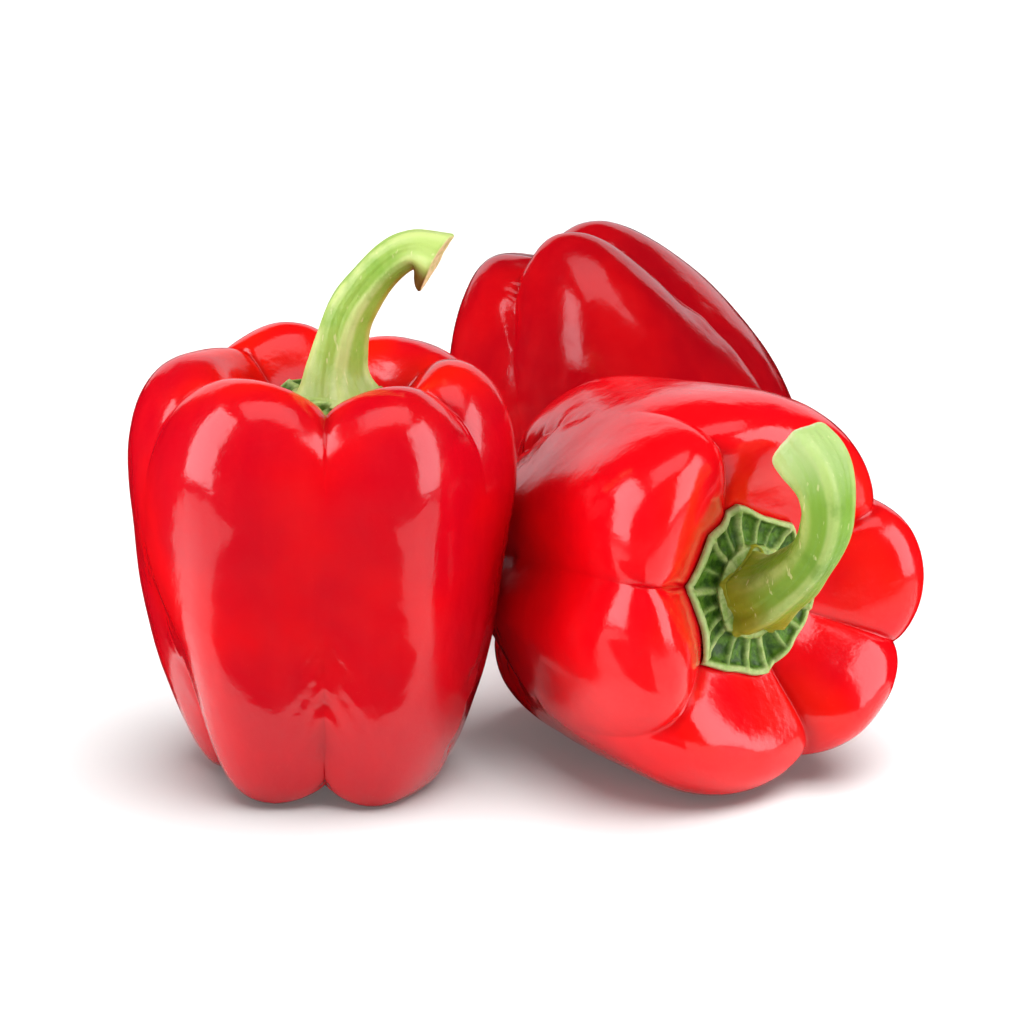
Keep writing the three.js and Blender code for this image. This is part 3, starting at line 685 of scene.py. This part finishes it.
# only the patches of table beside the fruits show in their gloss
x0, y0, x1, y1 = SHINY
shiny = [slab("table_left", x0, y0, LEFT_X, y1), slab("table_middle", LEFT_X, MIDDLE_Y, RIGHT_X, y1),
         slab("table_right", RIGHT_X, y0, x1, y1)]
far = [slab("floor_%d" % i, *r) for i, r in enumerate(frame_of(x0, y0, x1, y1))]
far.append(slab("floor_middle", LEFT_X, y0, RIGHT_X, MIDDLE_Y))
for o in shiny + far:
    o.data.materials.append(fm.mat)
for o in far:
    o.visible_glossy = False


def studio_wall(radius=10, count=64):
    """A pale dome round the floor: what the camera sees above the horizon."""
    me = bpy.data.meshes.new("studio_wall")
    rings = [(radius * math.cos(e), radius * math.sin(e)) for e in (math.radians(a) for a in range(-6, 90, 8))]
    v = [(r * math.cos(2 * math.pi * k / count), r * math.sin(2 * math.pi * k / count), z)
         for r, z in rings for k in range(count)] + [(0, 0, radius)]
    f = [(i * count + k, i * count + (k + 1) % count, (i + 1) * count + (k + 1) % count, (i + 1) * count + k)
         for i in range(len(rings) - 1) for k in range(count)]
    f += [((len(rings) - 1) * count + k, (len(rings) - 1) * count + (k + 1) % count, len(v) - 1) for k in range(count)]
    me.from_pydata(v, [], f)
    o = bpy.data.objects.new("studio_wall", me); scene.collection.objects.link(o)
    m = Nodes("wall_pale")
    m.bsdf.inputs["Base Color"].default_value = (0, 0, 0, 1)
    m.bsdf.inputs["Emission Color"].default_value = (1, 1, 1, 1)
    m.bsdf.inputs["Emission Strength"].default_value = 0.93
    m.set(Roughness=1.0, Specular_IOR_Level=0.0)
    o.data.materials.append(m.mat)
    o.visible_diffuse = o.visible_glossy = o.visible_transmission = o.visible_shadow = False
    return o


studio_wall()
world = bpy.data.worlds.new("studio"); scene.world = world
world.use_nodes = True
wt = world.node_tree
bg = wt.nodes["Background"]
bg.inputs["Color"].default_value = (1, 0.995, 0.99, 1)
bg.inputs["Strength"].default_value = WORLD
world.cycles_visibility.glossy = False


def aim(o, at, to):
    o.location = at
    o.rotation_euler = (Vector(to) - Vector(at)).to_track_quat("-Z", "Y").to_euler()


def softbox(name, at, to, size, radiance, glossy=True, colour=(1, 0.965, 1.02), only=None):
    """A rectangular light, as bright in a reflection as the radiance says."""
    d = bpy.data.lights.new(name, "AREA"); d.shape = "RECTANGLE"
    d.size, d.size_y = size; d.energy = radiance * math.pi * size[0] * size[1]; d.color = colour
    o = bpy.data.objects.new(name, d); scene.collection.objects.link(o)
    aim(o, at, to)
    o.visible_glossy = glossy
    if only:
        o.light_linking.receiver_collection = only
    return o


stage = bpy.data.collections.new("stage")
for o in shiny + far:
    stage.objects.link(o)
produce = bpy.data.collections.new("produce")
for group in (skins, calyxes, stems):
    for o in group.values():
        produce.objects.link(o)
sun = bpy.data.lights.new("floor_light", "SUN"); sun.energy = FLOOR_SUN; sun.angle = math.radians(58)
so = bpy.data.objects.new("floor_light", sun); scene.collection.objects.link(so)
aim(so, (0.45, -0.3, 2), (0, 0, 0)); so.visible_glossy = False
so.light_linking.receiver_collection = stage
open_sun = bpy.data.lights.new("floor_fill", "SUN"); open_sun.energy = FLOOR_FILL; open_sun.angle = math.radians(58)
fo = bpy.data.objects.new("floor_fill", open_sun); scene.collection.objects.link(fo)
aim(fo, (0.2, -0.3, 2), (0, 0, 0)); fo.visible_glossy = False
fo.light_linking.receiver_collection = stage
fo.light_linking.blocker_collection = stage

rear_one = bpy.data.collections.new("rear_one")
for group in (skins, calyxes, stems):
    rear_one.objects.link(group["pepper_rear"])
front_pair = bpy.data.collections.new("front_pair")
for name in ("pepper_upright", "pepper_lying"):
    for group in (skins, calyxes, stems):
        front_pair.objects.link(group[name])
lit = {"softbox_left": front_pair, "softbox_right": front_pair, "softbox_rear": rear_one}
for name, at, to, size, radiance, glossy in LIGHTS:
    only = lit.get(name, produce)
    if glossy:
        softbox(name, at, to, size, radiance * GLOSS_SHARE, True, only=only)
        softbox(name + "_soft", at, to, size, radiance * (1 - GLOSS_SHARE), False, only=only)
    else:
        softbox(name, at, to, size, radiance, False, only=only)

cam_data = bpy.data.cameras.new("camera"); cam = bpy.data.objects.new("camera", cam_data)
scene.collection.objects.link(cam)
target = Vector((-3.5, -57.37, 61.3)) * MM
back = Vector((0, -math.cos(math.radians(17)), math.sin(math.radians(17))))
cam.location = target + back * 0.7
cam.rotation_euler = (math.radians(90 - 17), 0, 0)
cam_data.sensor_width = 36; cam_data.lens = 3150 / 1024 * 36
cam_data.clip_start, cam_data.clip_end = 0.01, 60
scene.camera = cam
scene.view_settings.view_transform = "Standard"
